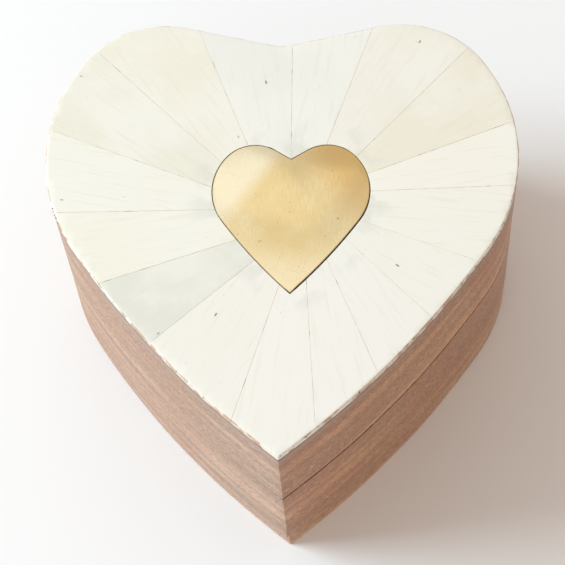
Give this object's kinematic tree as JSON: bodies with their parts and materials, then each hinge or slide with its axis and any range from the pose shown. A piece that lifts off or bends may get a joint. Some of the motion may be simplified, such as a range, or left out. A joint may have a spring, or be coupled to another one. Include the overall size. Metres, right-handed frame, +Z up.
{
  "type": "wind-up music box",
  "caption": "Heart-shaped hinged wooden box with a bone and brass inlaid lid, holding a key-wound musical movement under a clear cover.",
  "frame": {"origin": "on the floor, in the middle of the closed box's outline, hinge knuckles included", "axes": "+Z up; the heart's tip points to -Y and its cleft, where the hinges are, to +Y"},
  "size_m": [0.0904, 0.0916, 0.0566],
  "materials": {
    "wood": "sanded hardwood, open pores, thin wax",
    "bone": "polished natural bone, satin",
    "inlay_brass": "brushed sheet, fine scratches",
    "hardware_brass": "satin, slightly aged",
    "felt": "short-pile felt",
    "clear_cover": "clear acrylic sheet",
    "cast_metal": "plated die-cast zinc",
    "movement_brass": "bright machined",
    "steel": "ground and polished",
    "lead": "dull lead",
    "fly_plastic": "moulded"
  },
  "bodies": {
    "case": {"base_leaf_screws": "hardware_brass", "board_screws": "hardware_brass", "bottom_board": "wood", "movement_screws": "steel", "cover_screws": "hardware_brass", "stop_bracket_screw": "steel", "base_body": "wood", "movement_cover": "clear_cover", "left_hinge_base_leaf": "hardware_brass", "left_hinge_pin": "hardware_brass", "right_hinge_base_leaf": "hardware_brass", "right_hinge_pin": "hardware_brass", "comb_screws": "steel", "bracket_screws": "steel", "bedplate": "cast_metal", "drum_bridge": "steel", "cylinder_bearing": "movement_brass", "governor_frame": "movement_brass", "clutch_spring": "steel", "comb": "steel", "comb_weights": "lead", "stop_bracket": "steel", "stop_spring": "steel"},
    "lid": {"lid_body": "wood", "lid_lining": "felt", "brass_heart": "inlay_brass", "left_hinge_lid_leaf": "hardware_brass", "right_hinge_lid_leaf": "hardware_brass", "lid_leaf_screws": "hardware_brass", "bone_tile_01": "bone", "bone_tile_02": "bone", "bone_tile_03": "bone", "bone_tile_04": "bone", "bone_tile_05": "bone", "bone_tile_06": "bone", "bone_tile_07": "bone", "bone_tile_08": "bone", "bone_tile_09": "bone", "bone_tile_10": "bone", "bone_tile_11": "bone", "bone_tile_12": "bone", "bone_tile_13": "bone", "bone_tile_14": "bone", "bone_tile_15": "bone", "bone_tile_16": "bone"},
    "key": {"winding_key": "steel", "winding_arbor": "steel"},
    "drum": {"spring_drum": "steel", "great_wheel": "movement_brass", "mainspring": "steel"},
    "cylinder": {"cylinder": "movement_brass", "cylinder_shaft": "steel", "cylinder_end": "movement_brass", "cylinder_pinion": "movement_brass", "cylinder_gear": "movement_brass"},
    "governor": {"governor_wheel": "movement_brass", "governor_arbor": "steel"},
    "fly": {"worm": "steel", "fly": "fly_plastic"},
    "stopper": {"stop_plunger": "steel"}
  },
  "joints": [
    {"name": "lid_hinge", "type": "hinge", "parent": "case", "child": "lid", "pos_m": [0, 0.04428, 0.03185], "axis": [-1, 0, 0], "range_deg": [0, 95]},
    {"name": "key_wind", "type": "hinge", "parent": "case", "child": "key", "pos_m": [-0.013, 0.01522, 0.005], "axis": [0, 0, 1], "range_deg": [0, 2160]},
    {"name": "cylinder_spin", "type": "hinge", "parent": "case", "child": "cylinder", "pos_m": [0.01, 0.01522, 0.0208], "axis": [1, 0, 0], "continuous": true},
    {"name": "drum_spin", "type": "hinge", "parent": "case", "child": "drum", "pos_m": [-0.013, 0.01522, 0.014], "axis": [0, 0, 1], "continuous": true},
    {"name": "governor_spin", "type": "hinge", "parent": "case", "child": "governor", "pos_m": [0.0165, 0.02296, 0.01538], "axis": [1, 0, 0], "continuous": true},
    {"name": "fly_spin", "type": "hinge", "parent": "case", "child": "fly", "pos_m": [0.0165, 0.02593, 0.01538], "axis": [0, 0, 1], "continuous": true},
    {"name": "stop_slide", "type": "slide", "parent": "case", "child": "stopper", "axis": [0, 0, 1], "range_m": [0, 0.002], "deforming": ["stop_spring"]}
  ],
  "couplings": [
    {"joint": "drum_spin", "follows": "cylinder_spin", "ratio": 0.26667},
    {"joint": "governor_spin", "follows": "cylinder_spin", "ratio": -4},
    {"joint": "fly_spin", "follows": "cylinder_spin", "ratio": 52},
    {"joint": "stop_slide", "follows": "lid_hinge", "m_per_rad": 0.0012062}
  ]
}
